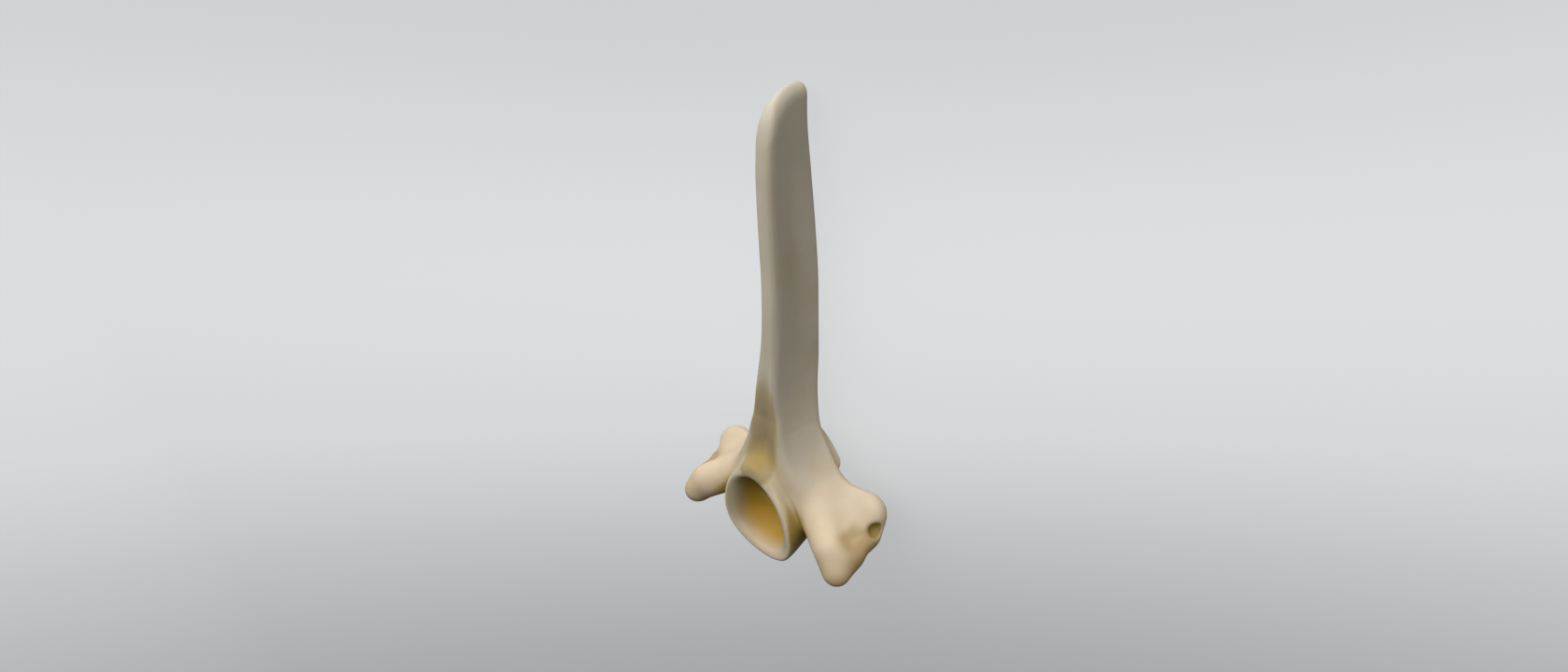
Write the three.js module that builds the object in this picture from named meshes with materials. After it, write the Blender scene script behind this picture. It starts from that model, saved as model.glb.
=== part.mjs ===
// A thoracic vertebra of an adult pig, from the front part of the back, as one dry bone.
// It has a long blade of a spine, a body with a deep oval front end, a canal through the arch,
// and on each side a wing that ends in an upper knob and a lower lobe with a rib facet.
//
// Sizes are in millimetres. The bone's own axes are x to its front end, y to its left and
// z up along the spine, from the middle of the front opening. At the end the bone is turned
// to lie on the rear rim of its body and the rear edge of its spine, with the spine along +Y.
import * as THREE from 'three';

const DEGREE = Math.PI / 180;

// Stations down the spine's middle and out along each wing. out and up place the middle line,
// fore and aft are the front and rear edges in x, the halves are half the thickness at each
// edge, and lean is how far the section drops toward the front.
const STATIONS = [
  { out: 0.0, up: 118, fore: 8.8, aft: -6.6, halfFore: 2.8, halfAft: 2.4, lean: 0 },
  { out: 0.0, up: 106, fore: 7.8, aft: -7.0, halfFore: 2.8, halfAft: 2.2, lean: 0 },
  { out: 0.0, up: 94, fore: 8.0, aft: -8.9, halfFore: 2.8, halfAft: 1.8, lean: 0 },
  { out: 0.0, up: 80, fore: 7.4, aft: -10.9, halfFore: 2.75, halfAft: 1.6, lean: 0 },
  { out: 0.0, up: 66, fore: 6.6, aft: -12.3, halfFore: 2.75, halfAft: 1.6, lean: 0 },
  { out: 0.0, up: 52, fore: 6.7, aft: -12.6, halfFore: 2.9, halfAft: 1.8, lean: 0 },
  { out: 0.3, up: 42, fore: 8.0, aft: -12.3, halfFore: 3.0, halfAft: 2.0, lean: 0 },
  { out: 1.3, up: 32, fore: 10.2, aft: -10.4, halfFore: 3.2, halfAft: 2.4, lean: -0.02 },
  { out: 3.6, up: 23, fore: 8.8, aft: -8.5, halfFore: 3.4, halfAft: 2.9, lean: -0.08 },
  { out: 7.8, up: 15, fore: 8.5, aft: -8.0, halfFore: 3.7, halfAft: 3.5, lean: -0.18 },
  { out: 13.4, up: 8.4, fore: 7.4, aft: -7.9, halfFore: 3.9, halfAft: 4.2, lean: -0.3 },
  { out: 19.5, up: 4.0, fore: 7.1, aft: -7.7, halfFore: 3.7, halfAft: 4.2, lean: -0.42 },
  { out: 25.0, up: 1.2, fore: 8.0, aft: -8.4, halfFore: 3.3, halfAft: 4.2, lean: -0.48 },
];
const LINE_STEPS = 10;
const SECTION_ROUND = 2.8;
const WING_ROUND = 6.0;
const FLANK_HOLLOW = 0.4;

// The summit is cut by three faces, each through a place (x, z) and falling to the front.
const SUMMIT = [
  { x: -4, z: 116.6, fall: 0.3 },
  { x: 4, z: 113.2, fall: 1.55 },
  { x: -7, z: 116.1, fall: -0.05 },
];
const SUMMIT_ROUND = 3.8;

// Wing ends: each place is x, y, z and a radius.
const KNOB = [-5.7, 24.9, 5.0, 4.4];
const KNOB_ROOT = [-3.7, 15.8, 4.7, 3.7];
const LOBE = [7.9, 26.9, -4.6, 2.8];
const KNEE = [6.1, 23.6, 0.4, 2.9];
const LOBE_ROOT = [3.1, 17.7, 3.7, 3.2];
const FACET = [-3.7, 26.4, 0.9, 3.8];
const HEEL = [3.1, 27.0, -2.1, 3.4];
const WING_BLEND = 6.0;
const FACET_BLEND = 2.0;
const WING_END = -0.5;
const WING_END_ROUND = 7.0;

// The right wing stands a little further forward and lower than the left one.
const FAR_WING = { x: 1.2, z: -0.3, from: 8, over: 16 };

// The body and arch as one spool, tall and oval, narrower above, with its front rim leaning forward.
const RIM_X = 11.0;
const RIM_LEAN = 8.4 * DEGREE;
const RIM_HALF_WIDTH = 12.3;
const RIM_HALF_HEIGHT = 15.9;
const RIM_MIDDLE = 1.25;
const RIM_TAPER = 0.21;
const RIM_SADDLE = 1.0;
const BODY_LENGTH = 27.0;
const WAIST = { side: 2.9, sideLow: 1.2, top: 0.7, bottom: 1.6, reach: 7.7 };
const REAR_FLARE = { side: 1.6, up: 1.0, reach: 5.0 };
const RIM_ROUND = 1.4;
const REAR_ROUND = 3.2;

// Hollows: the bowl in the front end, the canal, the shallow rear end, and the notch behind each root.
const RIM_WALL = 3.2;
const BEVEL = { slope: 0.6, inset: 0.4 };
const BOWL_DEPTH = 9.5;
const CANAL = { halfWidth: 6.6, halfHeight: 6.0, up: 6.2 };
const REAR_DISH = { halfWidth: 9.0, halfHeight: 7.5, up: -4.5, depth: 4.0 };
const NOTCH = { x: -17.0, y: 11.0, z: 6.4, rx: 6.0, ry: 9.0, rz: 4.0 };
const FOVEA = { x: -3.6, y: 30.6, z: 4.0, rx: 1.9, ry: 2.2, rz: 1.8 };
const HOLLOW_BLEND = 1.5;

// The shallow scoop over each wing's end, between its knob and its lobe.
const SCOOP = [
  [-0.9, 22.6, 12.6, 3.2],
  [2.6, 29.5, 7.9, 4.8],
];
const SCOOP_BLEND = 3.0;

// The groove down the front of the spine's root, as places x, y, z and a radius.
const GROOVE = [
  [13.6, 0, 48, 4.5],
  [12.6, 0, 30, 5.6],
  [13.2, 0, 19, 5.6],
];
const GROOVE_BLEND = 3.0;

// Bone that fills the fork between the two wings, under the spine.
const FORK = [
  [[3.0, 0, 36, 0.1], [2.5, 0, 26, 2.4], [1.0, 0, 14, 7.0]],
  [[-8.0, 0, 36, 0.1], [-6.5, 0, 26, 2.0], [-5.5, 0, 14, 6.5]],
  [[-2.5, 0, 36, 0.1], [-2.0, 0, 26, 2.4], [-2.0, 0, 14, 7.0]],
];
const FORK_BLEND = 4.0;
const ARCH_BLEND = 3.5;

// The crevice that frees the front rim from the arch: its width at the side and at the top, how
// far it runs behind the rim, and how tightly its edges round.
const CREVICE = { side: 1.4, top: -2.0, depth: 8.0, blend: 1.6 };

// The surface is meshed on a grid, coarser up the plain blade of the spine.
const GRID = { x: 1.6, y: 1.6, z: 1.6, blade: 4.0, bladeFrom: 44 };
const CELL_MARGIN = 0.06;
const REACH = { x: [-19, 16], y: 33, z: [-18, 119] };

const COLOUR = 0xcbb892;

function smoothMin(a, b, k) {
  const h = Math.max(k - Math.abs(a - b), 0) / k;
  return Math.min(a, b) - h * h * k * 0.25;
}

function smoothMax(a, b, k) {
  return -smoothMin(-a, -b, k);
}

function ease(t) {
  const c = Math.min(Math.max(t, 0), 1);
  return c * c * (3 - 2 * c);
}

// A smooth curve through evenly numbered values, at place t.
function through(values, t) {
  const last = values.length - 1;
  const c = Math.min(Math.max(t, 0), last);
  const i = Math.min(Math.floor(c), last - 1);
  const u = c - i;
  const slope = (n) => {
    if (n === 0) return values[1] - values[0];
    if (n === last) return values[last] - values[last - 1];
    return (values[n + 1] - values[n - 1]) / 2;
  };
  const u2 = u * u;
  const u3 = u2 * u;
  return (2 * u3 - 3 * u2 + 1) * values[i] + (u3 - 2 * u2 + u) * slope(i)
    + (-2 * u3 + 3 * u2) * values[i + 1] + (u3 - u2) * slope(i + 1);
}

function column(key) {
  return STATIONS.map((s) => s[key]);
}

const OUT = column('out');
const UP = column('up');
const FORE = column('fore');
const AFT = column('aft');
const HALF_FORE = column('halfFore');
const HALF_AFT = column('halfAft');
const LEAN = column('lean');

// The middle line, cut into short straight steps, and the length run along it to each place.
const LINE = [];
const RUN = [];
for (let i = 0; i <= (STATIONS.length - 1) * LINE_STEPS; i++) {
  const t = i / LINE_STEPS;
  const next = [through(OUT, t), through(UP, t)];
  const step = i ? Math.hypot(next[0] - LINE[i - 1][0], next[1] - LINE[i - 1][1]) : 0;
  LINE.push(next);
  RUN.push(i ? RUN[i - 1] + step : 0);
}

// Distance to a chain of balls joined by cones.
function chain(x, y, z, places, blend = 0.01) {
  let best = 1000;
  for (let i = 0; i + 1 < places.length; i++) {
    const [ax, ay, az, ar] = places[i];
    const [bx, by, bz, br] = places[i + 1];
    const dx = bx - ax;
    const dy = by - ay;
    const dz = bz - az;
    const along = ((x - ax) * dx + (y - ay) * dy + (z - az) * dz) / (dx * dx + dy * dy + dz * dz);
    const t = Math.min(Math.max(along, 0), 1);
    const far = Math.hypot(x - ax - t * dx, y - ay - t * dy, z - az - t * dz);
    best = smoothMin(best, far - ar - t * (br - ar), blend);
  }
  return best;
}

function ellipsoid(x, y, z, e) {
  const px = (x - e.x) / e.rx;
  const py = (y - e.y) / e.ry;
  const pz = (z - e.z) / e.rz;
  const k0 = Math.hypot(px, py, pz);
  const k1 = Math.hypot(px / e.rx, py / e.ry, pz / e.rz);
  return k0 * (k0 - 1) / Math.max(k1, 1e-6);
}

// The blade of the spine and the sheet of each wing, as one section carried along the middle line.
function sheet(x, y, z) {
  const steps = LINE.length - 1;
  let best = Infinity;
  let place = 0;
  let offset = 0;
  let past = 0;
  for (let i = 0; i < steps; i++) {
    const [ay, az] = LINE[i];
    const dy = LINE[i + 1][0] - ay;
    const dz = LINE[i + 1][1] - az;
    const length2 = dy * dy + dz * dz;
    const along = ((y - ay) * dy + (z - az) * dz) / length2;
    const t = Math.max(i < steps - 1 ? Math.min(along, 1) : along, 0);
    const ry = y - ay - t * dy;
    const rz = z - az - t * dz;
    const far = ry * ry + rz * rz;
    if (far < best) {
      const length = Math.sqrt(length2);
      best = far;
      place = (i + Math.min(t, 1)) / LINE_STEPS;
      offset = (rz * dy - ry * dz) / length;
      past = RUN[i] + t * length - RUN[steps];
    }
  }
  const fore = through(FORE, place);
  const aft = through(AFT, place);
  const lean = through(LEAN, place);
  const middle = (fore + aft) / 2;
  const across = Math.min(Math.max((x - aft) / (fore - aft), 0), 1);
  const halfFore = through(HALF_FORE, place);
  const halfAft = through(HALF_AFT, place);
  const hollow = FLANK_HOLLOW * Math.sin(Math.PI * across) ** 2;
  const half = halfAft + (halfFore - halfAft) * ease(across) - hollow;
  const face = (Math.abs(offset - lean * (x - middle)) - half) / Math.hypot(1, lean);
  const edge = Math.abs(x - middle) - (fore - aft) / 2;
  const round = SECTION_ROUND + (WING_ROUND - SECTION_ROUND) * ease((place - 8.5) / 2);
  return smoothMax(smoothMax(face, edge, round), past - WING_END, WING_END_ROUND);
}

function wingEnd(x, y, z) {
  const lobe = chain(x, y, z, [LOBE_ROOT, KNEE, LOBE], WING_BLEND);
  const knob = chain(x, y, z, [KNOB_ROOT, KNOB]);
  const facet = chain(x, y, z, [KNOB, FACET, HEEL, LOBE], FACET_BLEND);
  return smoothMin(smoothMin(lobe, knob, WING_BLEND), facet, WING_BLEND * 0.6);
}

function summit(x, z) {
  const [a, b, c] = SUMMIT.map((s) => (z - s.z + s.fall * (x - s.x)) / Math.hypot(1, s.fall));
  return smoothMax(smoothMax(a, b, 5), c, 3);
}

function fork(x, y, z) {
  const [a, b, c] = FORK.map((places) => chain(x, y, z, places));
  return smoothMin(smoothMin(a, b, FORK_BLEND), c, FORK_BLEND);
}

// The spool: depth behind the front rim, whose sides stand forward, and height in the rim's plane.
function spoolPlace(x, y, z) {
  const c = Math.cos(RIM_LEAN);
  const s = Math.sin(RIM_LEAN);
  const ahead = (x - RIM_X) * c - z * s;
  const saddle = RIM_SADDLE * (y / RIM_HALF_WIDTH) ** 2 * ease((ahead + 16) / 14);
  return { ahead: ahead - saddle, height: z * c + (x - RIM_X) * s };
}

function rimTaper(height) {
  const level = (height - RIM_MIDDLE) / RIM_HALF_HEIGHT;
  return 1 - RIM_TAPER * Math.min(Math.max(level, -1), 1);
}

function spool(y, { ahead, height }) {
  const front = Math.exp(-((Math.max(-ahead - 1.5, 0) / WAIST.reach) ** 2));
  const rear = Math.exp(-((Math.max(BODY_LENGTH + ahead - 1.5, 0) / REAR_FLARE.reach) ** 2));
  const below = ease((RIM_MIDDLE - height) / 8 + 0.5);
  const pinch = WAIST.top + (WAIST.bottom - WAIST.top) * below;
  const sidePinch = WAIST.side + (WAIST.sideLow - WAIST.side) * below;
  const wide = (RIM_HALF_WIDTH - sidePinch * (1 - front) + REAR_FLARE.side * rear) * rimTaper(height);
  const tall = RIM_HALF_HEIGHT - pinch * (1 - front) + REAR_FLARE.up * rear;
  const ring = Math.hypot(y / wide, (height - RIM_MIDDLE) / tall);
  const side = (ring - 1) * Math.min(wide, tall) * 0.92;
  return smoothMax(smoothMax(side, ahead, RIM_ROUND), -ahead - BODY_LENGTH, REAR_ROUND);
}

function hollows(y, { ahead, height }) {
  const level = (height - RIM_MIDDLE) / RIM_HALF_HEIGHT;
  const inset = (1 - Math.hypot(y / (RIM_HALF_WIDTH * rimTaper(height)), level)) * RIM_HALF_WIDTH * 0.92;
  const bevel = (-ahead - BEVEL.slope * (inset - BEVEL.inset)) * 0.8;
  const wide = (RIM_HALF_WIDTH - RIM_WALL) * rimTaper(height);
  const tall = RIM_HALF_HEIGHT - RIM_WALL;
  const deep = Math.min(ahead - 1, 0) / BOWL_DEPTH;
  const bowl = (Math.hypot(y / wide, (height - RIM_MIDDLE) / tall, deep) - 1) * 8;
  const round = Math.hypot(y / CANAL.halfWidth, (height - CANAL.up) / CANAL.halfHeight);
  const canal = (round - 1) * CANAL.halfHeight;
  const inward = Math.min(-ahead - BODY_LENGTH - 1.5, 0) / REAR_DISH.depth;
  const flat = Math.hypot(y / REAR_DISH.halfWidth, (height - REAR_DISH.up) / REAR_DISH.halfHeight, inward);
  const dish = (flat - 1) * REAR_DISH.depth * 0.9;
  return smoothMin(smoothMin(smoothMin(bowl, canal, 3), dish, 1.5), bevel, 0.8);
}

// Below zero inside the bone, above it outside.
function bone(xBoth, yBoth, zBoth) {
  const far = ease((-yBoth - FAR_WING.from) / FAR_WING.over);
  const x = xBoth - FAR_WING.x * far;
  const y = Math.abs(yBoth);
  const z = zBoth - FAR_WING.z * far;
  const soft = Math.sqrt(yBoth * yBoth + 0.5);
  const place = spoolPlace(x, y, z);
  let d = smoothMin(sheet(x, y, z), wingEnd(x, y, z), WING_BLEND);
  d = smoothMax(d, -chain(x, y, z, SCOOP), SCOOP_BLEND);
  d = smoothMin(d, fork(x, soft, z), FORK_BLEND);
  d = smoothMax(d, -chain(x, yBoth, z, GROOVE), GROOVE_BLEND);
  d = smoothMax(d, summit(x, z), SUMMIT_ROUND);
  const rim = spool(yBoth, place);
  const depth = ease((-place.ahead - 1) / CREVICE.depth);
  const upper = ease((place.height - 7) / 8);
  const width = CREVICE.side + (CREVICE.top - CREVICE.side) * upper;
  d = smoothMax(d, width * (1 - depth) - rim, CREVICE.blend);
  d = smoothMin(d, rim, CREVICE.blend + (ARCH_BLEND - CREVICE.blend) * Math.max(depth, upper));
  d = smoothMax(d, -ellipsoid(x, y, z, FOVEA), HOLLOW_BLEND);
  d = smoothMax(d, -ellipsoid(x, y, z, NOTCH), HOLLOW_BLEND);
  return smoothMax(d, -hollows(yBoth, place), HOLLOW_BLEND);
}

function steps(from, to, size) {
  const count = Math.ceil((to - from) / size);
  return Array.from({ length: count + 1 }, (_, i) => from + i * size);
}

// Moves a point along the field's slope onto the surface, inside its own cell.
function settle(point, low, high) {
  const e = 0.05;
  const p = [...point];
  for (let round = 0; round < 5; round++) {
    const [x, y, z] = p;
    const d = bone(x, y, z);
    const slope = [
      (bone(x + e, y, z) - bone(x - e, y, z)) / (2 * e),
      (bone(x, y + e, z) - bone(x, y - e, z)) / (2 * e),
      (bone(x, y, z + e) - bone(x, y, z - e)) / (2 * e),
    ];
    const size = Math.max(slope[0] ** 2 + slope[1] ** 2 + slope[2] ** 2, 0.2);
    for (let axis = 0; axis < 3; axis++) {
      const margin = (high[axis] - low[axis]) * CELL_MARGIN;
      const next = p[axis] - (d / size) * slope[axis];
      p[axis] = Math.min(Math.max(next, low[axis] + margin), high[axis] - margin);
    }
  }
  return p;
}

// A cell's corners are numbered by bits: 1 for x, 2 for y and 4 for z. These are its six faces.
const FACES = [
  [0, 1, 3, 2], [4, 5, 7, 6], [0, 1, 5, 4],
  [2, 3, 7, 6], [0, 2, 6, 4], [1, 3, 7, 5],
];

function edgeName(a, b) {
  return Math.min(a, b) * 8 + Math.max(a, b);
}

// Groups a cell's crossed edges by the sheet of surface that crosses them, so that two sheets
// in one cell stay apart.
function sheetsOf(inside) {
  const group = new Map();
  const rootOf = (name) => {
    let root = name;
    while (group.get(root) !== root) root = group.get(root);
    return root;
  };
  for (const face of FACES) {
    for (let i = 0; i < 4; i++) {
      if (inside[face[i]] || !inside[face[(i + 1) % 4]]) continue;
      let j = i + 1;
      while (inside[face[(j + 1) % 4]]) j++;
      const entry = edgeName(face[i], face[(i + 1) % 4]);
      const exit = edgeName(face[j % 4], face[(j + 1) % 4]);
      for (const name of [entry, exit]) if (!group.has(name)) group.set(name, name);
      group.set(rootOf(exit), rootOf(entry));
    }
  }
  const sheets = new Map();
  for (const name of group.keys()) {
    const root = rootOf(name);
    if (!sheets.has(root)) sheets.set(root, []);
    sheets.get(root).push(name);
  }
  return [...sheets.values()];
}

// A closed net of triangles: one point for each sheet in each cell that the surface crosses,
// and two triangles across each grid edge that it crosses.
function net(grid) {
  const counts = grid.map((line) => line.length);
  const at = (i, j, k) => (i * counts[1] + j) * counts[2] + k;
  const values = new Float64Array(counts[0] * counts[1] * counts[2]);
  const each = (first, short, visit) => {
    for (let i = first; i < counts[0] - short; i++) {
      for (let j = first; j < counts[1] - short; j++) {
        for (let k = first; k < counts[2] - short; k++) visit(i, j, k);
      }
    }
  };
  each(0, 0, (i, j, k) => {
    values[at(i, j, k)] = bone(grid[0][i], grid[1][j], grid[2][k]);
  });

  const points = [];
  const pointOf = new Map();
  each(0, 1, (i, j, k) => {
    const corner = (c) => [i + (c & 1), j + ((c >> 1) & 1), k + (c >> 2)];
    const level = [0, 1, 2, 3, 4, 5, 6, 7].map((c) => values[at(...corner(c))]);
    const inside = level.map((v) => v < 0);
    if (inside.every((v) => v === inside[0])) return;
    const low = corner(0).map((n, axis) => grid[axis][n]);
    const high = corner(7).map((n, axis) => grid[axis][n]);
    for (const names of sheetsOf(inside)) {
      const sum = [0, 0, 0];
      for (const name of names) {
        const [a, b] = [name >> 3, name & 7];
        const t = level[a] / (level[a] - level[b]);
        const [pa, pb] = [corner(a), corner(b)];
        for (let axis = 0; axis < 3; axis++) {
          const from = grid[axis][pa[axis]];
          sum[axis] += from + t * (grid[axis][pb[axis]] - from);
        }
        pointOf.set(at(i, j, k) * 64 + name, points.length);
      }
      points.push(settle(sum.map((v) => v / names.length), low, high));
    }
  });

  const triangles = [];
  const span = (a, b) => Math.hypot(...points[a].map((v, axis) => v - points[b][axis]));
  each(1, 1, (...start) => {
    for (let axis = 0; axis < 3; axis++) {
      const end = [...start];
      end[axis] += 1;
      const inside = values[at(...start)] < 0;
      if (inside === values[at(...end)] < 0) continue;
      const [u, v] = [(axis + 1) % 3, (axis + 2) % 3];
      const ring = [[1, 1], [0, 1], [0, 0], [1, 0]].map(([back, down]) => {
        const cell = [...start];
        cell[u] -= back;
        cell[v] -= down;
        const from = (back << u) | (down << v);
        return pointOf.get(at(...cell) * 64 + edgeName(from, from | (1 << axis)));
      });
      const [a, b, c, d] = inside ? ring : ring.reverse();
      const halves = span(a, c) <= span(b, d) ? [a, b, c, a, c, d] : [a, b, d, b, c, d];
      triangles.push(...halves);
    }
  });

  const geometry = new THREE.BufferGeometry();
  geometry.setAttribute('position', new THREE.Float32BufferAttribute(points.flat(), 3));
  geometry.setIndex(triangles);
  return geometry;
}

// The lean at which the body's rear rim and the spine's rear edge touch the floor together.
function restLean(geometry) {
  const position = geometry.getAttribute('position');
  let low = 0;
  let high = 10 * DEGREE;
  for (let round = 0; round < 30; round++) {
    const lean = (low + high) / 2;
    let lowest = Infinity;
    let height = 0;
    for (let i = 0; i < position.count; i++) {
      const level = position.getX(i) * Math.cos(lean) - position.getZ(i) * Math.sin(lean);
      if (level >= lowest) continue;
      lowest = level;
      height = position.getZ(i);
    }
    if (height > 20) high = lean;
    else low = lean;
  }
  return (low + high) / 2;
}

function makeVertebra() {
  const half = steps(GRID.y / 2, REACH.y, GRID.y);
  const ys = [...half.map((y) => -y).reverse(), ...half];
  const xs = steps(REACH.x[0], REACH.x[1], GRID.x);
  const low = steps(REACH.z[0], GRID.bladeFrom, GRID.z);
  const zs = [...low, ...steps(low[low.length - 1], REACH.z[1], GRID.blade).slice(1)];
  const material = new THREE.MeshStandardMaterial({ color: COLOUR, roughness: 0.6, metalness: 0 });
  const mesh = new THREE.Mesh(net([xs, ys, zs]), material);
  mesh.name = 'vertebra';
  return mesh;
}

// Lies with the bone's front end up, its spine along +Y and its left side along +X.
function lay(mesh) {
  const lean = restLean(mesh.geometry);
  const turn = new THREE.Matrix4().makeBasis(
    new THREE.Vector3(0, 0, 1),
    new THREE.Vector3(1, 0, 0),
    new THREE.Vector3(0, 1, 0),
  );
  const tip = new THREE.Matrix4().makeRotationX(-lean);
  mesh.quaternion.setFromRotationMatrix(tip.multiply(turn));
  const group = new THREE.Group();
  group.add(mesh);
  group.updateMatrixWorld(true);
  const box = new THREE.Box3().setFromObject(group, true);
  const centre = box.getCenter(new THREE.Vector3());
  group.position.set(-centre.x, -centre.y, -box.min.z);
  return group;
}

export default lay(makeVertebra());
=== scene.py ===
from math import cos, pi, radians, sin

import bpy
import numpy as np
import openvdb
from mathutils import Matrix, Vector


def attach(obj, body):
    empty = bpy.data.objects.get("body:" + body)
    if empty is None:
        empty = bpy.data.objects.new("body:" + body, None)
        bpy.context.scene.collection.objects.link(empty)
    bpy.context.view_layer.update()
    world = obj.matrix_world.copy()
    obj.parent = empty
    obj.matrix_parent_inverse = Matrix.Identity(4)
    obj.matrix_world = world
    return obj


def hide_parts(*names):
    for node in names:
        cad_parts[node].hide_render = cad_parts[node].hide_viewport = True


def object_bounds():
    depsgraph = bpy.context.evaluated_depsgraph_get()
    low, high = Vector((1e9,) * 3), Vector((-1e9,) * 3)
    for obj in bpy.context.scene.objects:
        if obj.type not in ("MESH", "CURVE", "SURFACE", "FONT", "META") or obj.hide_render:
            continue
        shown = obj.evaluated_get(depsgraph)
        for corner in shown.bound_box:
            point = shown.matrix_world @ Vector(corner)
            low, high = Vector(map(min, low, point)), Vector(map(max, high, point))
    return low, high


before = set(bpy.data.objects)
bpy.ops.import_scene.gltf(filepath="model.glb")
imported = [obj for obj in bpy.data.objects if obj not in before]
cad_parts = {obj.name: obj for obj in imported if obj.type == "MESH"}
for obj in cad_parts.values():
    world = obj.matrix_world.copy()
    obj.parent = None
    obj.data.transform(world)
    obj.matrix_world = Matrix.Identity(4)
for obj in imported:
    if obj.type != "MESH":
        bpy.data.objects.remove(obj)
cad_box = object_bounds()

MM = 0.001
TINY = 1e-6
FAR_AWAY = 1e3

# Stations down the spine's middle and out along each wing: how far out and up the middle line
# is, the front and rear edges in x, half the thickness at each, and how far the section leans.
STATIONS = (
    (0.0, 118, 8.8, -6.6, 2.8, 2.4, 0),
    (0.0, 106, 7.8, -7.0, 2.8, 2.2, 0),
    (0.0, 94, 8.0, -8.9, 2.8, 1.8, 0),
    (0.0, 80, 7.4, -10.9, 2.75, 1.6, 0),
    (0.0, 66, 6.6, -12.3, 2.75, 1.6, 0),
    (0.0, 52, 6.7, -12.6, 2.9, 1.8, 0),
    (0.3, 42, 8.0, -12.3, 3.0, 2.0, 0),
    (1.3, 32, 10.2, -10.4, 3.2, 2.4, -0.02),
    (3.6, 23, 8.8, -8.5, 3.4, 2.9, -0.08),
    (7.8, 15, 8.5, -8.0, 3.7, 3.5, -0.18),
    (13.4, 8.4, 7.4, -7.9, 3.9, 4.2, -0.3),
    (19.5, 4.0, 7.1, -7.7, 3.7, 4.2, -0.42),
    (25.0, 1.2, 8.0, -8.4, 3.3, 4.2, -0.48),
)
LINE_STEPS = 10
FLANK_HOLLOW = 0.4

# How round the section's edges are on the spine and on a wing, and the stations between.
SECTION_ROUND = 2.8
WING_ROUND = 6.0
WING_ROUND_SPAN = (8.5, 10.5)

# The summit is cut by three faces, each through a place (x, z) and falling to the front.
SUMMIT = ((-4, 116.6, 0.3), (4, 113.2, 1.55), (-7, 116.1, -0.05))
SUMMIT_CREST_BLEND = 5.0
SUMMIT_REAR_BLEND = 3.0
SUMMIT_ROUND = 3.8

# Wing ends: each place is x, y, z and a radius.
KNOB = (-5.7, 24.9, 5.0, 4.4)
KNOB_ROOT = (-3.7, 15.8, 4.7, 3.7)
LOBE = (7.9, 26.9, -4.6, 2.8)
KNEE = (6.1, 23.6, 0.4, 2.9)
LOBE_ROOT = (3.1, 17.7, 3.7, 3.2)
FACET = (-3.7, 26.4, 0.9, 3.8)
HEEL = (3.1, 27.0, -2.1, 3.4)
CHAIN_BLEND = 0.01
WING_BLEND = 6.0
FACET_BLEND = 2.0
FACET_JOIN = 3.6
WING_END = -0.5
WING_END_ROUND = 7.0

# The right wing stands a little further forward and lower than the left one.
FAR_WING_SHIFT = (1.2, 0.0, -0.3)
FAR_WING_FROM = 8.0
FAR_WING_OVER = 16.0

# The body and arch as one spool, with its front rim leaning forward.
RIM_X = 11.0
RIM_LEAN = radians(8.4)
RIM_HALF_WIDTH = 12.3
RIM_HALF_HEIGHT = 15.9
RIM_MIDDLE = 1.25
RIM_TAPER = 0.21
RIM_SADDLE = 1.0
SADDLE_SPAN = (-16.0, -2.0)
BODY_LENGTH = 27.0
WAIST_SIDE = 2.9
WAIST_SIDE_LOW = 1.2
WAIST_TOP = 0.7
WAIST_BOTTOM = 1.6
WAIST_REACH = 7.7
REAR_SIDE = 1.6
REAR_UP = 1.0
REAR_REACH = 5.0
RIM_ROUND = 1.4
RIM_ROUND_TOP = 3.0
REAR_ROUND = 3.2

# How far both rims keep their full size, the heights between which the spool changes to its
# upper and to its lower form, and what turns a share of its size into about a distance.
RIM_LIP = 1.5
UPPER_SPAN = (7.0, 15.0)
LOWER_SPAN = (RIM_MIDDLE + 4.0, RIM_MIDDLE - 4.0)
RING_SCALE = 0.92

# Hollows: the bevel and bowl in the front end, the canal, the shallow dish in the rear end, and
# the notch and the rib pit of each wing. The bowl and dish are widest a little outside the ends.
RIM_WALL = 3.2
BEVEL_SLOPE = 0.6
BEVEL_INSET = 0.4
BEVEL_SCALE = 0.8
BEVEL_BLEND = 0.8
BOWL_DEPTH = 9.5
BOWL_OUTSIDE = 1.0
BOWL_MIDDLE = 0.3
BOWL_HALF_HEIGHT = 12.0
BOWL_SCALE = 8.0
CANAL_HALF_WIDTH = 6.6
CANAL_HALF_HEIGHT = 6.0
CANAL_UP = 6.2
CANAL_BLEND = 3.0
DISH_HALF_WIDTH = 9.0
DISH_HALF_HEIGHT = 7.5
DISH_UP = -4.5
DISH_DEPTH = 4.0
DISH_OUTSIDE = 1.5
DISH_SCALE = 0.9
DISH_BLEND = 1.5
NOTCH = ((-17.0, 11.0, 6.4), (6.0, 9.0, 4.0))
FOVEA = ((-3.6, 30.6, 4.0), (1.9, 2.2, 1.8))
HOLLOW_BLEND = 1.5

# The shallow scoop over each wing's end, between its knob and its lobe.
SCOOP = ((-0.9, 22.6, 12.6, 2.8), (2.6, 29.5, 7.9, 4.4))
SCOOP_BLEND = 4.5

# The groove down the front of the spine's root, and the bone that fills the fork under it.
GROOVE = ((13.6, 0, 48, 4.5), (12.6, 0, 30, 5.6), (13.2, 0, 19, 5.6))
GROOVE_BLEND = 3.0
FORK = (
    ((3.0, 0, 36, 0.1), (2.5, 0, 26, 2.4), (1.0, 0, 14, 7.0)),
    ((-8.0, 0, 36, 0.1), (-6.5, 0, 26, 2.0), (-5.5, 0, 14, 6.5)),
    ((-2.5, 0, 36, 0.1), (-2.0, 0, 26, 2.4), (-2.0, 0, 14, 7.0)),
)
FORK_BLEND = 4.0
FORK_CREASE = 0.5
ARCH_BLEND = 3.5

# The crevice that frees the front rim from the arch: how far it stands off at the side and at
# the top, where it starts behind the rim, how deep it runs, and how tightly its edges round.
CREVICE_SIDE = 1.4
CREVICE_TOP = -2.0
CREVICE_FROM = 1.0
CREVICE_DEPTH = 8.0
CREVICE_BLEND = 1.6

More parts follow.
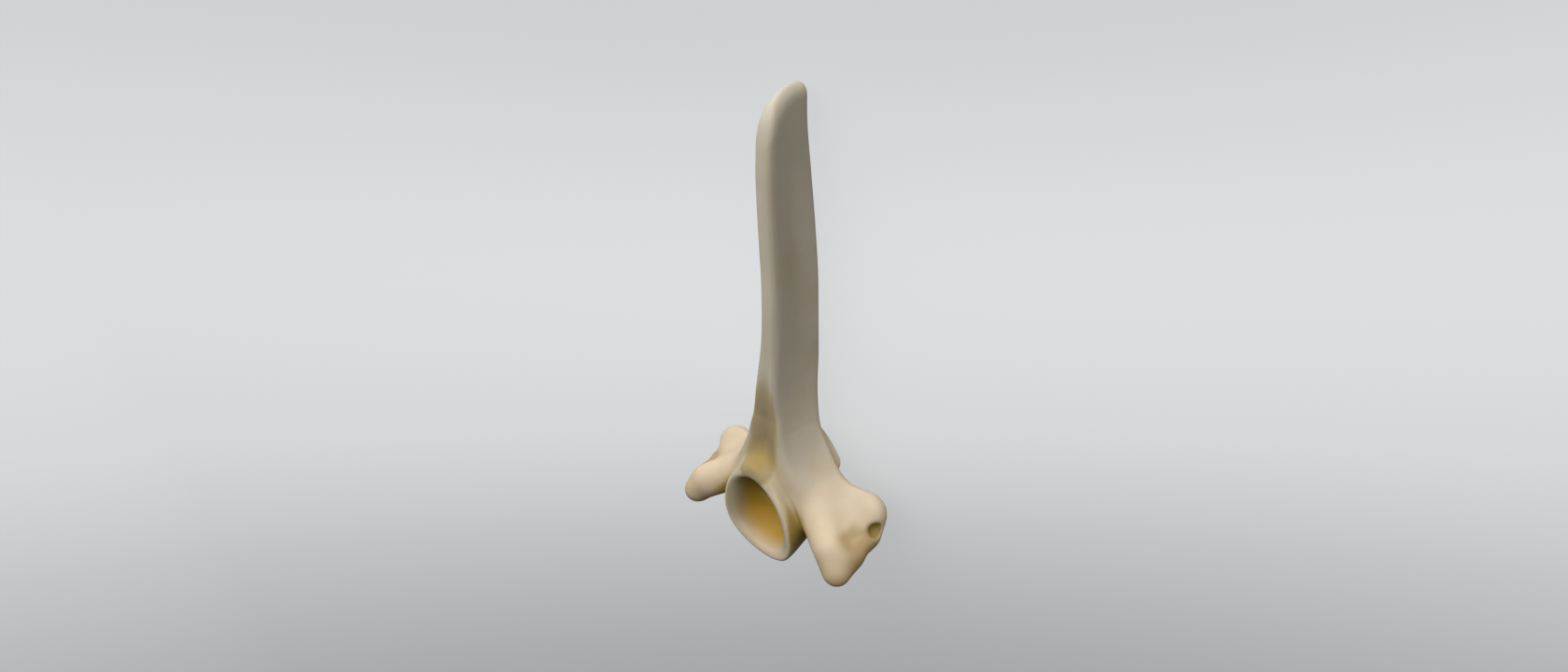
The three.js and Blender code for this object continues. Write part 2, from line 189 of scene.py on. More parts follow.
# How the bone lies on the floor.
REST_LEAN = radians(3.65)
ORIGIN_Y = -50.5
ORIGIN_Z = 16.3
BOX_INSET = 0.01

# The fine mesh of one side, and how its points are then moved onto the surface.
GRID_LOW = (-19.0, 0.0, -18.0)
GRID_HIGH = (16.0, 33.0, 119.0)
GRID_STEP = 0.45
GRID_OUTSIDE = 10.0
SLOPE_REACH = 0.05
SETTLE_ROUNDS = 3
SETTLE_SLOPE = 0.2
SETTLE_STEP = 0.3

# Where the painted values rise over the bone: how far they look for bone around a point, and
# the spans of places, heights, distances to a form, and directions that the surface faces.
# Painted shade in recesses: how far it looks for bone round a point, at a near and a wide reach, and
# the share of each.
RECESS_NEAR = 2.5
RECESS_NEAR_SHARE = 0.5
RECESS_WIDE = 6.0
RECESS_WIDE_SHARE = 0.9
# How far in it looks for thin, convex edges, which are painted paler.
PALE_EDGE_REACH = 2.2
# Painted shade in the hollows: how near a hollow's form it starts, and where behind the front end and
# ahead of the rear end it fills in.
HOLLOW_SPAN = (0.8, 0.0)
GOLD_BEHIND_FRONT = (0.5, 5.5)
GOLD_AHEAD_OF_REAR = (4.0, 9.0)
GREY_UP = (3.0, 24.0)
# Painted highlight on faces that turn to the front, high on the spine.
HIGHLIGHT_FACING = (0.1, 0.8)
HIGHLIGHT_UP = (45.0, 75.0)
# Heights over which the painted shade inside the hollows turns from dark moss at the top to gold at
# the bottom.
INNER_SHADE_DOWN = (7.0, -7.0)
# Painted shade in the groove down the front of the spine's root.
GROOVE_SHADE_SPAN = (2.2, 0.2)
GROOVE_SHADE_DOWN = (52.0, 34.0)
# Painted shade in the rib pit of each wing.
PIT_SHADE_SPAN = (0.7, 0.1)
# Painted shade low on the side faces of each wing's end.
HEEL_OUT = (23.0, 26.0)
HEEL_FACING = (0.2, 0.6)
HEEL_X = 1.0
HEEL_SPAN = (9.0, 2.0)
HEEL_DOWN = (10.0, 2.0)
# Painted shade on the lower part of each wing's end.
LOBE_SHADE_OUT = (19.0, 23.0)
LOBE_SHADE_DOWN = (3.0, -4.0)
# Painted shade in the hollow just above the front rim, strongest at its middle.
OCHRE_PLACE = (9.4, 0.0, 17.8)
OCHRE_SPAN = (5.5, 1.5)
# Painted shade on the hollows' walls, fading out low down.
HOLLOW_SHADE_UP = (-12.0, -2.0)

# The view, in the bone's own axes.
VIEW_AZIMUTH = radians(45.5)
VIEW_ELEVATION = radians(26.5)
VIEW_DISTANCE = 236.0
VIEW_AIM = Vector((0.0, 0.0, 51.6))
FOCAL_PIXELS = 989.0
PHOTO_WIDTH = 1680.0
SENSOR = 36.0
CLIP_START = 0.01

# The floor, in metres, and the tones of its painted light from the bottom of the view to the top:
# each is how high in the view, and the tone on screen. The tint is what its red, green and blue add to
# a tone.
FLOOR_RADIUS = 1.8
FLOOR_MIDDLE = 0.3
FLOOR_CURVE = 0.9
FLOOR_SIDES = 96
CURVE_STEPS = 12
FLOOR_GLOW_TONES = ((-0.34, 164), (-0.2, 200), (-0.1, 219), (0.1, 229), (0.33, 206))
FLOOR_TINT = (0, 2, 3)
# The share of the floor that is really lit; the rest glows with painted light.
FLOOR_LIT = 0.2

# The sky is brighter toward an axis: how far toward it the change runs, and both strengths.
SKY_AXIS = (-0.13, 0.97, 0.18)
SKY_SPAN = (-0.35, 0.85)
SKY_STRENGTHS = (0.02, 1.66)
SKY_COLOUR = (0.97, 0.985, 1.0, 1)

# The key light: the place that it aims at and the direction it comes from, in the bone's own
# axes, and how far off and wide it is, in metres.
KEY_AIM = Vector((0, 0, 40))
KEY_FROM = Vector((0.42, 0.0, 0.9))
KEY_DISTANCE = 0.8
KEY_SIZE = 0.5
KEY_POWER = 1.4


def linear(red, green, blue):
    """A colour given as it shows on screen, from 0 to 255, as the shader's linear values."""
    return tuple(((c / 255 + 0.055) / 1.055) ** 2.4 for c in (red, green, blue)) + (1,)


WARM = linear(194, 174, 145)
GREY = linear(168, 159, 141)
# Pale: painted highlight on front faces high on the spine, and also the paler thin edges.
PALE = linear(206, 196, 178)
# Ochre: painted shade in recesses and in the hollow above the front rim.
SHADE_OCHRE = linear(152, 127, 54)
# Gold and moss: painted shade inside the hollows, moss where it is darkest at the top; moss is also
# the rib pits' painted shade.
SHADE_GOLD = linear(176, 136, 40)
SHADE_MOSS = linear(126, 106, 30)
# Olive: painted shade on surfaces that face down.
UNDERSIDE_SHADE_OLIVE = linear(126, 110, 66)
# Brown: painted shade in the groove.
GROOVE_SHADE_BROWN = linear(140, 121, 82)
# Umber: painted shade on the wing ends' side faces.
SHADE_UMBER = linear(140, 114, 58)
# Tan: painted shade low on the wing ends.
SHADE_TAN = linear(160, 140, 104)
# Sage: painted shade on the hollows' walls.
HOLLOW_SHADE_SAGE = linear(146, 140, 110)

# Tints laid over the plain bone, first to last: the painted value, its span, the most that the
# tint covers, and its colour. All but the paler edges are painted shade or painted highlight.
# The pit's painted shade comes after the shade inside the hollows.
TINTS = (
    # Paler on thin, convex edges.
    ("pale_edge", (0.15, 0.8), 0.35, PALE),
    # Painted highlight on the spine's front faces.
    ("fore", (0.0, 1.0), 0.45, PALE),
    # Painted shade, tan, low on the wing ends.
    ("lobe", (0.0, 1.0), 0.6, SHADE_TAN),
    # Painted shade on surfaces that face down.
    ("under", (0.0, 0.9), 0.75, UNDERSIDE_SHADE_OLIVE),
    # Painted shade, ochre, in recesses.
    ("recess_shade", (0.25, 0.95), 0.9, SHADE_OCHRE),
    # Painted shade in the groove down the spine's root.
    ("groove", (0.0, 1.0), 0.75, GROOVE_SHADE_BROWN),
    # Painted shade, umber, on the wing ends' side faces.
    ("end_face_shade", (0.0, 1.0), 0.7, SHADE_UMBER),
    # Painted shade, ochre, in the hollow above the front rim.
    ("rim_hollow_shade", (0.0, 1.0), 0.6, SHADE_OCHRE),
    # Painted shade, sage, on the hollows' walls.
    ("bevel", (0.0, 1.0), 0.65, HOLLOW_SHADE_SAGE),
)
# Painted shade, moss, in each wing's rib pit.
PIT_SHADE_TINT = ("pit", (0.0, 1.0), 0.85, SHADE_MOSS)

# Blotches, a faint flush and fine specks that darken the bone: the noise's scale and detail,
# its span, the most that the stain covers, and its colour.
STAINS = (
    (70.0, 4.0, (0.42, 0.72), 0.5, (0.88, 0.84, 0.74, 1)),
    (120.0, 2.0, (0.45, 0.75), 0.6, (1.0, 0.94, 0.9, 1)),
    (1100.0, 2.0, (0.62, 0.8), 0.16, (0.72, 0.64, 0.5, 1)),
)

# The bone's gloss and grain: each noise's scale, detail and roughness, then what it drives.
NOISE_ROUGHNESS = 0.55
GLOSS_NOISE = (260.0, 3.0, NOISE_ROUGHNESS)
GLOSS_SPAN = (0.3, 0.7)
GLOSS_ROUGHNESS = (0.42, 0.62)
GRAIN_NOISE = (900.0, 4.0, 0.6)
GRAIN_STRENGTH = 0.25
GRAIN_HEIGHT = 0.0001
SPECULAR = 0.35

# The sockets of a mix node that carry its factor, its two colours and its result.
MIX_INPUTS = (0, 6, 7)
MIX_OUTPUT = 2


def smooth_min(a, b, k):
    h = np.maximum(k - np.abs(a - b), 0) / k
    return np.minimum(a, b) - h * h * k * 0.25


def smooth_max(a, b, k):
    return -smooth_min(-a, -b, k)


def ease(t):
    c = np.clip(t, 0, 1)
    return c * c * (3 - 2 * c)


def rise(value, span):
    """Goes softly from 0 at the span's start to 1 where it is full."""
    start, full = span
    return ease((value - start) / (full - start))


def through(values, t):
    """A smooth curve through evenly numbered values, at place t."""
    v = np.asarray(values, float)
    last = len(v) - 1
    slope = np.gradient(v)
    c = np.clip(t, 0, last)
    i = np.minimum(np.floor(c).astype(int), last - 1)
    u = c - i
    u2 = u * u
    u3 = u2 * u
    start = (2 * u3 - 3 * u2 + 1) * v[i] + (u3 - 2 * u2 + u) * slope[i]
    return start + (-2 * u3 + 3 * u2) * v[i + 1] + (u3 - u2) * slope[i + 1]


def chain(x, y, z, places, blend=CHAIN_BLEND):
    """Distance to a chain of balls joined by cones."""
    best = FAR_AWAY
    for a, b in zip(places, places[1:]):
        dx, dy, dz = b[0] - a[0], b[1] - a[1], b[2] - a[2]
        along = ((x - a[0]) * dx + (y - a[1]) * dy + (z - a[2]) * dz) / (dx * dx + dy * dy + dz * dz)
        t = np.clip(along, 0, 1)
        far = np.sqrt((x - a[0] - t * dx) ** 2 + (y - a[1] - t * dy) ** 2 + (z - a[2] - t * dz) ** 2)
        best = smooth_min(best, far - a[3] - t * (b[3] - a[3]), blend)
    return best


def ellipsoid(x, y, z, centre, radii):
    """About the distance to an ellipsoid."""
    p = [(v - c) / r for v, c, r in zip((x, y, z), centre, radii)]
    k0 = np.sqrt(sum(v * v for v in p))
    k1 = np.sqrt(sum((v / r) ** 2 for v, r in zip(p, radii)))
    return k0 * (k0 - 1) / np.maximum(k1, TINY)


def sheet(x, y, z):
    """The blade of the spine and the sheet of each wing, as one section carried along a line."""
    out, up, fore, aft, half_fore, half_aft, lean = np.array(STATIONS, float).T
    places = np.arange((len(STATIONS) - 1) * LINE_STEPS + 1) / LINE_STEPS
    line_y = through(out, places)
    line_z = through(up, places)
    run = np.concatenate(((0,), np.cumsum(np.hypot(np.diff(line_y), np.diff(line_z)))))
    steps = len(places) - 1
    flat = np.broadcast_shapes(y.shape, z.shape)
    best = np.full(flat, np.inf)
    place = np.zeros(flat)
    offset = np.zeros(flat)
    past = np.zeros(flat)
    for i in range(steps):
        dy = line_y[i + 1] - line_y[i]
        dz = line_z[i + 1] - line_z[i]
        length = np.hypot(dy, dz)
        along = ((y - line_y[i]) * dy + (z - line_z[i]) * dz) / length ** 2
        is_last = i == steps - 1
        t = np.maximum(along, 0) if is_last else np.clip(along, 0, 1)
        ry = y - line_y[i] - t * dy
        rz = z - line_z[i] - t * dz
        far = ry * ry + rz * rz
        near = far < best
        best = np.where(near, far, best)
        place = np.where(near, (i + np.minimum(t, 1)) / LINE_STEPS, place)
        offset = np.where(near, (rz * dy - ry * dz) / length, offset)
        past = np.where(near, run[i] + t * length - run[-1], past)
    front = through(fore, place)
    rear = through(aft, place)
    slope = through(lean, place)
    middle = (front + rear) / 2
    across = np.clip((x - rear) / (front - rear), 0, 1)
    hollow = FLANK_HOLLOW * np.sin(pi * across) ** 2
    half_rear = through(half_aft, place)
    half = half_rear + (through(half_fore, place) - half_rear) * ease(across) - hollow
    face = (np.abs(offset - slope * (x - middle)) - half) / np.hypot(1, slope)
    edge = np.abs(x - middle) - (front - rear) / 2
    round_by = SECTION_ROUND + (WING_ROUND - SECTION_ROUND) * rise(place, WING_ROUND_SPAN)
    return smooth_max(smooth_max(face, edge, round_by), past - WING_END, WING_END_ROUND)


def wing_end(x, y, z):
    """The knob and the lobe at a wing's end, and the facet between them."""
    lobe = chain(x, y, z, (LOBE_ROOT, KNEE, LOBE), WING_BLEND)
    knob = chain(x, y, z, (KNOB_ROOT, KNOB))
    facet = chain(x, y, z, (KNOB, FACET, HEEL, LOBE), FACET_BLEND)
    return smooth_min(smooth_min(lobe, knob, WING_BLEND), facet, FACET_JOIN)


def summit(x, z):
    """Above zero over the three faces that end the spine."""
    a, b, c = [(z - up + fall * (x - fore)) / np.hypot(1, fall) for fore, up, fall in SUMMIT]
    return smooth_max(smooth_max(a, b, SUMMIT_CREST_BLEND), c, SUMMIT_REAR_BLEND)


def fork(x, y, z):
    """The bone between the roots of the wings."""
    a, b, c = [chain(x, y, z, places) for places in FORK]
    return smooth_min(smooth_min(a, b, FORK_BLEND), c, FORK_BLEND)


def spool_place(x, y, z):
    """How far ahead of the front rim a point is, and its height in the rim's own plane.

    The rim's sides stand forward of its middle."""
    c = cos(RIM_LEAN)
    s = sin(RIM_LEAN)
    ahead = (x - RIM_X) * c - z * s
    saddle = RIM_SADDLE * (y / RIM_HALF_WIDTH) ** 2 * rise(ahead, SADDLE_SPAN)
    return ahead - saddle, z * c + (x - RIM_X) * s


def rim_taper(height):
    """The spool's share of its full width, which is less higher up."""
    return 1 - RIM_TAPER * np.clip((height - RIM_MIDDLE) / RIM_HALF_HEIGHT, -1, 1)


def spool(y, ahead, height):
    """The body and arch without their hollows: an oval, waisted spool with two flared ends."""
    front = np.exp(-(np.maximum(-ahead - RIM_LIP, 0) / WAIST_REACH) ** 2)
    rear = np.exp(-(np.maximum(BODY_LENGTH + ahead - RIM_LIP, 0) / REAR_REACH) ** 2)
    lower = rise(height, LOWER_SPAN)
    pinch = WAIST_TOP + (WAIST_BOTTOM - WAIST_TOP) * lower
    side_pinch = WAIST_SIDE + (WAIST_SIDE_LOW - WAIST_SIDE) * lower
    wide = (RIM_HALF_WIDTH - side_pinch * (1 - front) + REAR_SIDE * rear) * rim_taper(height)
    tall = RIM_HALF_HEIGHT - pinch * (1 - front) + REAR_UP * rear
    ring = np.hypot(y / wide, (height - RIM_MIDDLE) / tall)
    side = (ring - 1) * np.minimum(wide, tall) * RING_SCALE
    round_by = RIM_ROUND + (RIM_ROUND_TOP - RIM_ROUND) * rise(height, UPPER_SPAN)
    return smooth_max(smooth_max(side, ahead, round_by), -ahead - BODY_LENGTH, REAR_ROUND)


def hollows(y, ahead, height):
    """The bowl and bevel in the front end, the canal, and the dish in the rear end."""
    taper = rim_taper(height)
    ring = np.hypot(y / (RIM_HALF_WIDTH * taper), (height - RIM_MIDDLE) / RIM_HALF_HEIGHT)
    inset = (1 - ring) * RIM_HALF_WIDTH * RING_SCALE
    slope = BEVEL_SLOPE * (1 - rise(height, UPPER_SPAN))
    bevel = (-ahead - slope * (inset - BEVEL_INSET)) * BEVEL_SCALE
    wide = y / ((RIM_HALF_WIDTH - RIM_WALL) * taper)
    tall = (height - BOWL_MIDDLE) / BOWL_HALF_HEIGHT
    deep = np.minimum(ahead - BOWL_OUTSIDE, 0) / BOWL_DEPTH
    bowl = (np.sqrt(wide ** 2 + tall ** 2 + deep ** 2) - 1) * BOWL_SCALE
    bore = np.hypot(y / CANAL_HALF_WIDTH, (height - CANAL_UP) / CANAL_HALF_HEIGHT)
    canal = (bore - 1) * CANAL_HALF_HEIGHT
    inward = np.minimum(-ahead - BODY_LENGTH - DISH_OUTSIDE, 0) / DISH_DEPTH
    across = np.hypot(y / DISH_HALF_WIDTH, (height - DISH_UP) / DISH_HALF_HEIGHT)
    dish = (np.hypot(across, inward) - 1) * DISH_DEPTH * DISH_SCALE
    opened = smooth_min(smooth_min(bowl, canal, CANAL_BLEND), dish, DISH_BLEND)
    return smooth_min(opened, bevel, BEVEL_BLEND)


def bone(x, y_both, z):
    """Below zero inside the bone, above it outside."""
    y = np.abs(y_both)
    y_soft = np.sqrt(y_both * y_both + FORK_CREASE)
    ahead, height = spool_place(x, y, z)
    d = smooth_min(sheet(x, y, z), wing_end(x, y, z), WING_BLEND)
    d = smooth_max(d, -chain(x, y, z, SCOOP), SCOOP_BLEND)
    d = smooth_min(d, fork(x, y_soft, z), FORK_BLEND)
    d = smooth_max(d, -chain(x, y_both, z, GROOVE), GROOVE_BLEND)
    d = smooth_max(d, summit(x, z), SUMMIT_ROUND)
    rim = spool(y_both, ahead, height)
    depth = rise(-ahead, (CREVICE_FROM, CREVICE_FROM + CREVICE_DEPTH))
    upper = rise(height, UPPER_SPAN)
    width = CREVICE_SIDE + (CREVICE_TOP - CREVICE_SIDE) * upper
    d = smooth_max(d, width * (1 - depth) - rim, CREVICE_BLEND)
    d = smooth_min(d, rim, CREVICE_BLEND + (ARCH_BLEND - CREVICE_BLEND) * np.maximum(depth, upper))
    d = smooth_max(d, -ellipsoid(x, y, z, *FOVEA), HOLLOW_BLEND)
    d = smooth_max(d, -ellipsoid(x, y, z, *NOTCH), HOLLOW_BLEND)
    return smooth_max(d, -hollows(y_both, ahead, height), HOLLOW_BLEND)


def slope_at(p):
    """The field's slope at each point."""
    slope = np.empty_like(p)
    for axis in range(3):
        step = np.zeros(3)
        step[axis] = SLOPE_REACH
        slope[:, axis] = (bone(*(p + step).T) - bone(*(p - step).T)) / (2 * SLOPE_REACH)
    return slope


def settle(p):
    """Moves points along the field's slope onto the surface."""
    for _ in range(SETTLE_ROUNDS):
        slope = slope_at(p)
        steep = np.maximum((slope ** 2).sum(1), SETTLE_SLOPE)
        move = np.clip(bone(*p.T) / steep, -SETTLE_STEP, SETTLE_STEP)
        p = p - move[:, None] * slope
    return p


def bone_net():
    """Points and four-sided faces of the whole bone's surface."""
    x, y, z = [np.arange(low, high, GRID_STEP) for low, high in zip(GRID_LOW, GRID_HIGH)]
    half = bone(x[:, None, None], y[None, :, None], z[None, None, :]).astype(np.float32)
    both = np.concatenate((half[:, :0:-1], half), axis=1)
    grid = openvdb.FloatGrid(background=GRID_OUTSIDE)
    grid.copyFromArray(np.ascontiguousarray(both))
    points, quads = grid.convertToQuads(0.0)
    low = np.array((GRID_LOW[0], -y[-1], GRID_LOW[2]))
    return settle(points.astype(float) * GRID_STEP + low), quads


def lay_matrix():
    """From the bone's own axes, in millimetres, to the floor's, in metres."""
    turn = Matrix(((0, 1, 0), (0, 0, 1), (1, 0, 0))).to_4x4()
    tip = Matrix.Rotation(-REST_LEAN, 4, "X")
    move = Matrix.Translation((0, ORIGIN_Y, ORIGIN_Z))
    return Matrix.Scale(MM, 4) @ move @ tip @ turn


def surface_normals(p):
    slope = slope_at(p)
    return slope / np.maximum(np.linalg.norm(slope, axis=1, keepdims=True), TINY)


def shut_in(p, normal, reach):
    """How far the bone closes round each point at this reach, from 0 in the open to 1."""
    return np.clip(1 - bone(*(p + normal * reach).T) / reach, 0, 1)


def painted_values(p):
    """Per point, the painted shade in recesses, hollows, the groove, the pits, on undersides and at
    the wing ends, the painted highlight on front faces, the paler thin edges and the grey, each as one
    value.
    """
    normal = surface_normals(p)
    x, y, z = p.T
    side = np.abs(y)
    ahead, height = spool_place(x, y, z)
    # The painted shade in recesses grows as the bone closes round a point.
    near = RECESS_NEAR_SHARE * shut_in(p, normal, RECESS_NEAR)
    wide = RECESS_WIDE_SHARE * shut_in(p, normal, RECESS_WIDE)
    hollow = rise(hollows(y, ahead, height), HOLLOW_SPAN)
    # Painted shade inside the hollows between the two ends.
    inside = rise(-ahead, GOLD_BEHIND_FRONT) * rise(ahead + BODY_LENGTH, GOLD_AHEAD_OF_REAR)
    # Thin, convex edges are painted paler.
    thin = 1 + bone(*(p - normal * PALE_EDGE_REACH).T) / PALE_EDGE_REACH
    # Painted shade low on the side faces at each wing's end.
    wing_tip = rise(side, HEEL_OUT) * rise(np.abs(normal[:, 1]), HEEL_FACING)
    end_face_shade = rise(np.abs(x - HEEL_X), HEEL_SPAN) * rise(z, HEEL_DOWN)
    # Painted shade in the hollow above the front rim.
    above_rim = np.linalg.norm(p - OCHRE_PLACE, axis=1)
    return {
        # Painted shade in recesses.
        "recess_shade": np.clip(near + wide, 0, 1),
        # Painted shade inside the hollows.
        "inner_shade": hollow * inside,
        "grey": rise(z, GREY_UP),
        # Paler on thin, convex edges.
        "pale_edge": np.clip(thin, 0, 1),
        # Painted highlight where the surface faces the front, high on the spine.
        "fore": rise(normal[:, 0], HIGHLIGHT_FACING) * rise(z, HIGHLIGHT_UP),
        # Painted shade on surfaces that face down.
        "under": np.clip(-normal[:, 2], 0, 1),
        # Where the painted shade inside the hollows turns from moss above to gold below.
        "low": rise(height, INNER_SHADE_DOWN),
        # Painted shade in the groove down the spine's root.
        "groove": rise(chain(x, y, z, GROOVE), GROOVE_SHADE_SPAN) * rise(z, GROOVE_SHADE_DOWN),
        # Painted shade in the rib pits.
        "pit": rise(ellipsoid(x, side, z, *FOVEA), PIT_SHADE_SPAN),
        # Painted shade on the wing ends' side faces.
        "end_face_shade": wing_tip * end_face_shade,
        # Painted shade low on each wing's end.
        "lobe": rise(side, LOBE_SHADE_OUT) * rise(z, LOBE_SHADE_DOWN),
        # Painted shade in the hollow above the front rim.
        "rim_hollow_shade": rise(above_rim, OCHRE_SPAN),
        # Painted shade on the hollows' walls.
        "bevel": hollow * rise(height, HOLLOW_SHADE_UP),
    }


def skewed(p):
    """Moves the right wing to its own place."""
    far = rise(-p[:, 1], (FAR_WING_FROM, FAR_WING_FROM + FAR_WING_OVER))
    return p + far[:, None] * np.array(FAR_WING_SHIFT)


def fit_to_solid(mesh):
    """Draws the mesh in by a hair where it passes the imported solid's box."""
    p = np.empty(len(mesh.vertices) * 3)
    mesh.vertices.foreach_get("co", p)
    p = p.reshape(-1, 3)
    low, high = [np.array(corner) for corner in cad_box]
    inset = BOX_INSET * MM
    share = np.minimum((high - low - 2 * inset) / np.ptp(p, axis=0), 1)
    own_middle = (p.max(0) + p.min(0)) / 2
    p = (low + high) / 2 + (p - own_middle) * share
    mesh.vertices.foreach_set("co", p.ravel())


def add_object(name, mesh):
    """Adds a smoothly shaded mesh to the scene."""
    mesh.update()
    mesh.polygons.foreach_set("use_smooth", [True] * len(mesh.polygons))
    piece = bpy.data.objects.new(name, mesh)
    bpy.context.scene.collection.objects.link(piece)
    return piece


def make_bone():
    points, quads = bone_net()
    mesh = bpy.data.meshes.new("bone")
    mesh.from_pydata(skewed(points).tolist(), [], quads[:, ::-1].tolist())
    for name, values in painted_values(points).items():
        layer = mesh.attributes.new(name, "FLOAT", "POINT")
        layer.data.foreach_set("value", np.ascontiguousarray(values, np.float32))
    mesh.transform(lay_matrix())
    fit_to_solid(mesh)
    return add_object("bone", mesh)


def feed(tree, socket, value):
    """Gives a socket its value, or links it to the socket that drives it."""
    if isinstance(value, bpy.types.NodeSocket):
        tree.links.new(value, socket)
    else:
        socket.default_value = value


def add_node(tree, kind, inputs=None, **settings):
    node = tree.nodes.new(kind)
    for name, value in settings.items():
        setattr(node, name, value)
    for name, value in (inputs or {}).items():
        feed(tree, node.inputs[name], value)
    return node


def vector_math(tree, operation, *vectors):
    return add_node(tree, "ShaderNodeVectorMath", dict(enumerate(vectors)), operation=operation)


def painted(tree, name):
    return add_node(tree, "ShaderNodeAttribute", attribute_name=name).outputs["Fac"]


def mixed(tree, amount, first, second, blend="MIX"):
    node = add_node(tree, "ShaderNodeMix", data_type="RGBA", blend_type=blend)
    for number, value in zip(MIX_INPUTS, (amount, first, second)):
        feed(tree, node.inputs[number], value)
    return node.outputs[MIX_OUTPUT]


def ranged(tree, value, span, result):
    """Goes softly from the result's first value to its second as a value crosses a span."""
    ends = {"From Min": span[0], "From Max": span[1], "To Min": result[0], "To Max": result[1]}
    node = add_node(tree, "ShaderNodeMapRange", {"Value": value, **ends},
                    interpolation_type="SMOOTHSTEP")
    return node.outputs["Result"]


def noise(tree, scale, detail, roughness=NOISE_ROUGHNESS):
    where = add_node(tree, "ShaderNodeTexCoord").outputs["Object"]
    inputs = {"Vector": where, "Scale": scale, "Detail": detail, "Roughness": roughness}
    return add_node(tree, "ShaderNodeTexNoise", inputs).outputs["Fac"]


def tinted(tree, colour, tint):
    name, span, most, over = tint
    return mixed(tree, ranged(tree, painted(tree, name), span, (0, most)), colour, over)


def bone_material():
    material = bpy.data.materials.new("bone")
    material.use_nodes = True
    tree = material.node_tree
    shader = tree.nodes["Principled BSDF"]
    colour = mixed(tree, painted(tree, "grey"), WARM, GREY)
    for tint in TINTS:
        colour = tinted(tree, colour, tint)
    # Painted shade inside the hollows: dark moss high up, gold low down.
    inner_shade_colour = mixed(tree, painted(tree, "low"), SHADE_MOSS, SHADE_GOLD)
    colour = mixed(tree, painted(tree, "inner_shade"), colour, inner_shade_colour)
    # Painted shade in the rib pits.
    colour = tinted(tree, colour, PIT_SHADE_TINT)
    for scale, detail, span, most, over in STAINS:
        cover = ranged(tree, noise(tree, scale, detail), span, (0, most))
        colour = mixed(tree, cover, colour, over, "MULTIPLY")
    feed(tree, shader.inputs["Base Color"], colour)
    gloss = ranged(tree, noise(tree, *GLOSS_NOISE), GLOSS_SPAN, GLOSS_ROUGHNESS)
    feed(tree, shader.inputs["Roughness"], gloss)
    grain = {"Strength": GRAIN_STRENGTH, "Distance": GRAIN_HEIGHT, "Height": noise(tree, *GRAIN_NOISE)}
    feed(tree, shader.inputs["Normal"], add_node(tree, "ShaderNodeBump", grain).outputs[0])
    shader.inputs["Specular IOR Level"].default_value = SPECULAR
    return material


def view_axes():
    """The view's right, up and back in the floor's axes, and the place that it is seen from."""
    a = VIEW_AZIMUTH
    e = VIEW_ELEVATION
    back = Vector((sin(a) * cos(e), cos(a) * cos(e), sin(e)))
    right = Vector((-cos(a), sin(a), 0))
    lay = lay_matrix()
    turn = lay.to_3x3().normalized()
    axes = [turn @ v for v in (right, back.cross(right), back)]
    return axes, lay @ (VIEW_AIM + back * VIEW_DISTANCE)


def make_camera():
    axes, place = view_axes()
    camera = bpy.data.objects.new("camera", bpy.data.cameras.new("camera"))
    camera.matrix_world = Matrix.Translation(place) @ Matrix(axes).transposed().to_4x4()
    camera.data.sensor_width = SENSOR
    camera.data.lens = FOCAL_PIXELS / PHOTO_WIDTH * SENSOR
    camera.data.clip_start = CLIP_START
    bpy.context.scene.collection.objects.link(camera)
    bpy.context.scene.camera = camera


def painted_light_floor_material():
    """A pale sweep that mostly glows with painted light, graded from the bottom of the camera's view
    to its top, darkest at the bottom.
    """
    material = bpy.data.materials.new("floor")
    material.use_nodes = True
    tree = material.node_tree
    shader = tree.nodes["Principled BSDF"]
    axes, place = view_axes()
    up = axes[1]
    where = add_node(tree, "ShaderNodeNewGeometry").outputs["Position"]
    line = vector_math(tree, "SUBTRACT", where, place).outputs["Vector"]
    toward = vector_math(tree, "NORMALIZE", line).outputs["Vector"]
    level = vector_math(tree, "DOT_PRODUCT", toward, up).outputs["Value"]
    lowest = FLOOR_GLOW_TONES[0][0]
    highest = FLOOR_GLOW_TONES[-1][0]
    ends = {"From Min": lowest, "From Max": highest}
    share = add_node(tree, "ShaderNodeMapRange", {"Value": level, **ends}).outputs["Result"]
    ramp = add_node(tree, "ShaderNodeValToRGB", {"Fac": share})
    ramp.color_ramp.interpolation = "B_SPLINE"
    stops = ramp.color_ramp.elements
    while len(stops) < len(FLOOR_GLOW_TONES):
        stops.new(0.5)
    for stop, (height, tone) in zip(stops, FLOOR_GLOW_TONES):
        stop.position = (height - lowest) / (highest - lowest)
        stop.color = linear(*(tone + extra for extra in FLOOR_TINT))
    feed(tree, shader.inputs["Base Color"], ramp.outputs["Color"])
    shader.inputs["Roughness"].default_value = 1.0
    shader.inputs["Specular IOR Level"].default_value = 0.0
    # Painted light: the floor glows with its graded tone.
    glow = add_node(tree, "ShaderNodeEmission", {"Color": ramp.outputs["Color"]}).outputs[0]
    mix = add_node(tree, "ShaderNodeMixShader", {0: FLOOR_LIT, 1: glow, 2: shader.outputs[0]})
    feed(tree, tree.nodes["Material Output"].inputs["Surface"], mix.outputs[0])
    return material


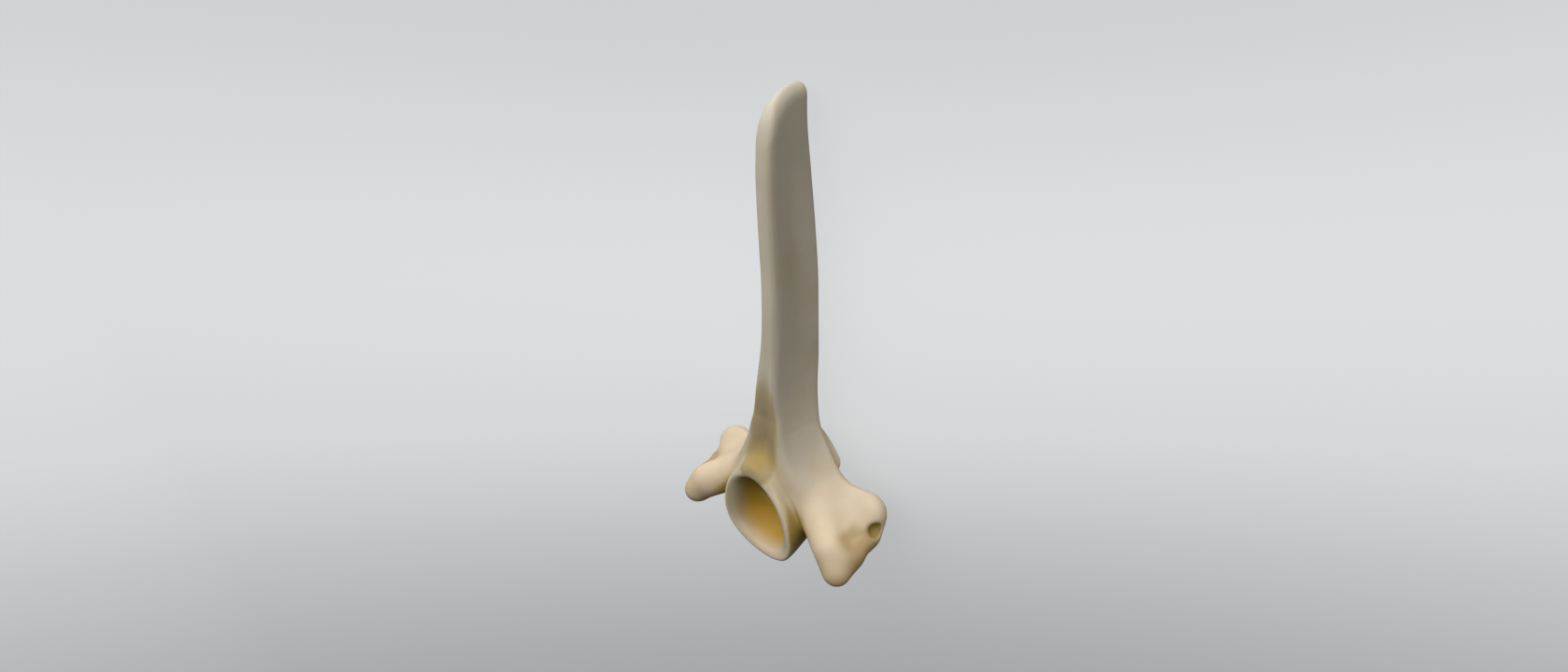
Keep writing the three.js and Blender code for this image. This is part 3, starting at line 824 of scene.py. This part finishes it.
def make_round(name, profile, material, closed):
    """A stage surface turned round the middle of the floor from a profile of (radius, height)."""
    count = len(profile)
    points = []
    faces = []
    for i in range(FLOOR_SIDES):
        turn = 2 * pi * i / FLOOR_SIDES
        points += [(r * cos(turn), r * sin(turn), up) for r, up in profile]
        here = i * count
        there = (i + 1) % FLOOR_SIDES * count
        faces += [(here + k, here + k + 1, there + k + 1, there + k) for k in range(count - 1)]
    if closed:
        faces.append(tuple(range(0, FLOOR_SIDES * count, count)))
    mesh = bpy.data.meshes.new(name)
    mesh.from_pydata(points, [], faces)
    mesh.materials.append(material)
    surface = add_object(name, mesh)
    surface.visible_shadow = False
    surface.visible_diffuse = False
    surface.visible_glossy = False


def make_floor():
    """A flat round floor and a low backdrop that curves up from its edge, which glow with painted
    light but are neither of them a light.
    """
    material = painted_light_floor_material()
    make_round("floor", [(FLOOR_MIDDLE, 0), (FLOOR_RADIUS, 0)], material, True)
    turns = [pi / 2 * i / CURVE_STEPS for i in range(CURVE_STEPS + 1)]
    curve = [(FLOOR_RADIUS + FLOOR_CURVE * sin(t), FLOOR_CURVE * (1 - cos(t))) for t in turns]
    make_round("backdrop", curve, material, False)


def make_key_light():
    """An area light beyond the spine's tip and a little to the front."""
    lay = lay_matrix()
    toward = (lay.to_3x3().normalized() @ KEY_FROM).normalized()
    data = bpy.data.lights.new("key", "AREA")
    data.size = KEY_SIZE
    data.energy = KEY_POWER
    light = bpy.data.objects.new("key", data)
    light.location = lay @ KEY_AIM + toward * KEY_DISTANCE
    light.rotation_euler = (-toward).to_track_quat("-Z", "Y").to_euler()
    bpy.context.scene.collection.objects.link(light)


def make_world():
    """Soft light all round, brighter from the side that the spine's tip points to."""
    world = bpy.data.worlds.new("studio")
    world.use_nodes = True
    tree = world.node_tree
    where = add_node(tree, "ShaderNodeTexCoord").outputs["Generated"]
    side = vector_math(tree, "DOT_PRODUCT", where, SKY_AXIS).outputs["Value"]
    sky = tree.nodes["Background"]
    sky.inputs["Color"].default_value = SKY_COLOUR
    feed(tree, sky.inputs["Strength"], ranged(tree, side, SKY_SPAN, SKY_STRENGTHS))
    bpy.context.scene.world = world


piece = make_bone()
piece.data.materials.append(bone_material())
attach(piece, "root")
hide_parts("vertebra")

make_camera()
make_floor()
make_key_light()
make_world()
bpy.context.scene.view_settings.view_transform = "Standard"
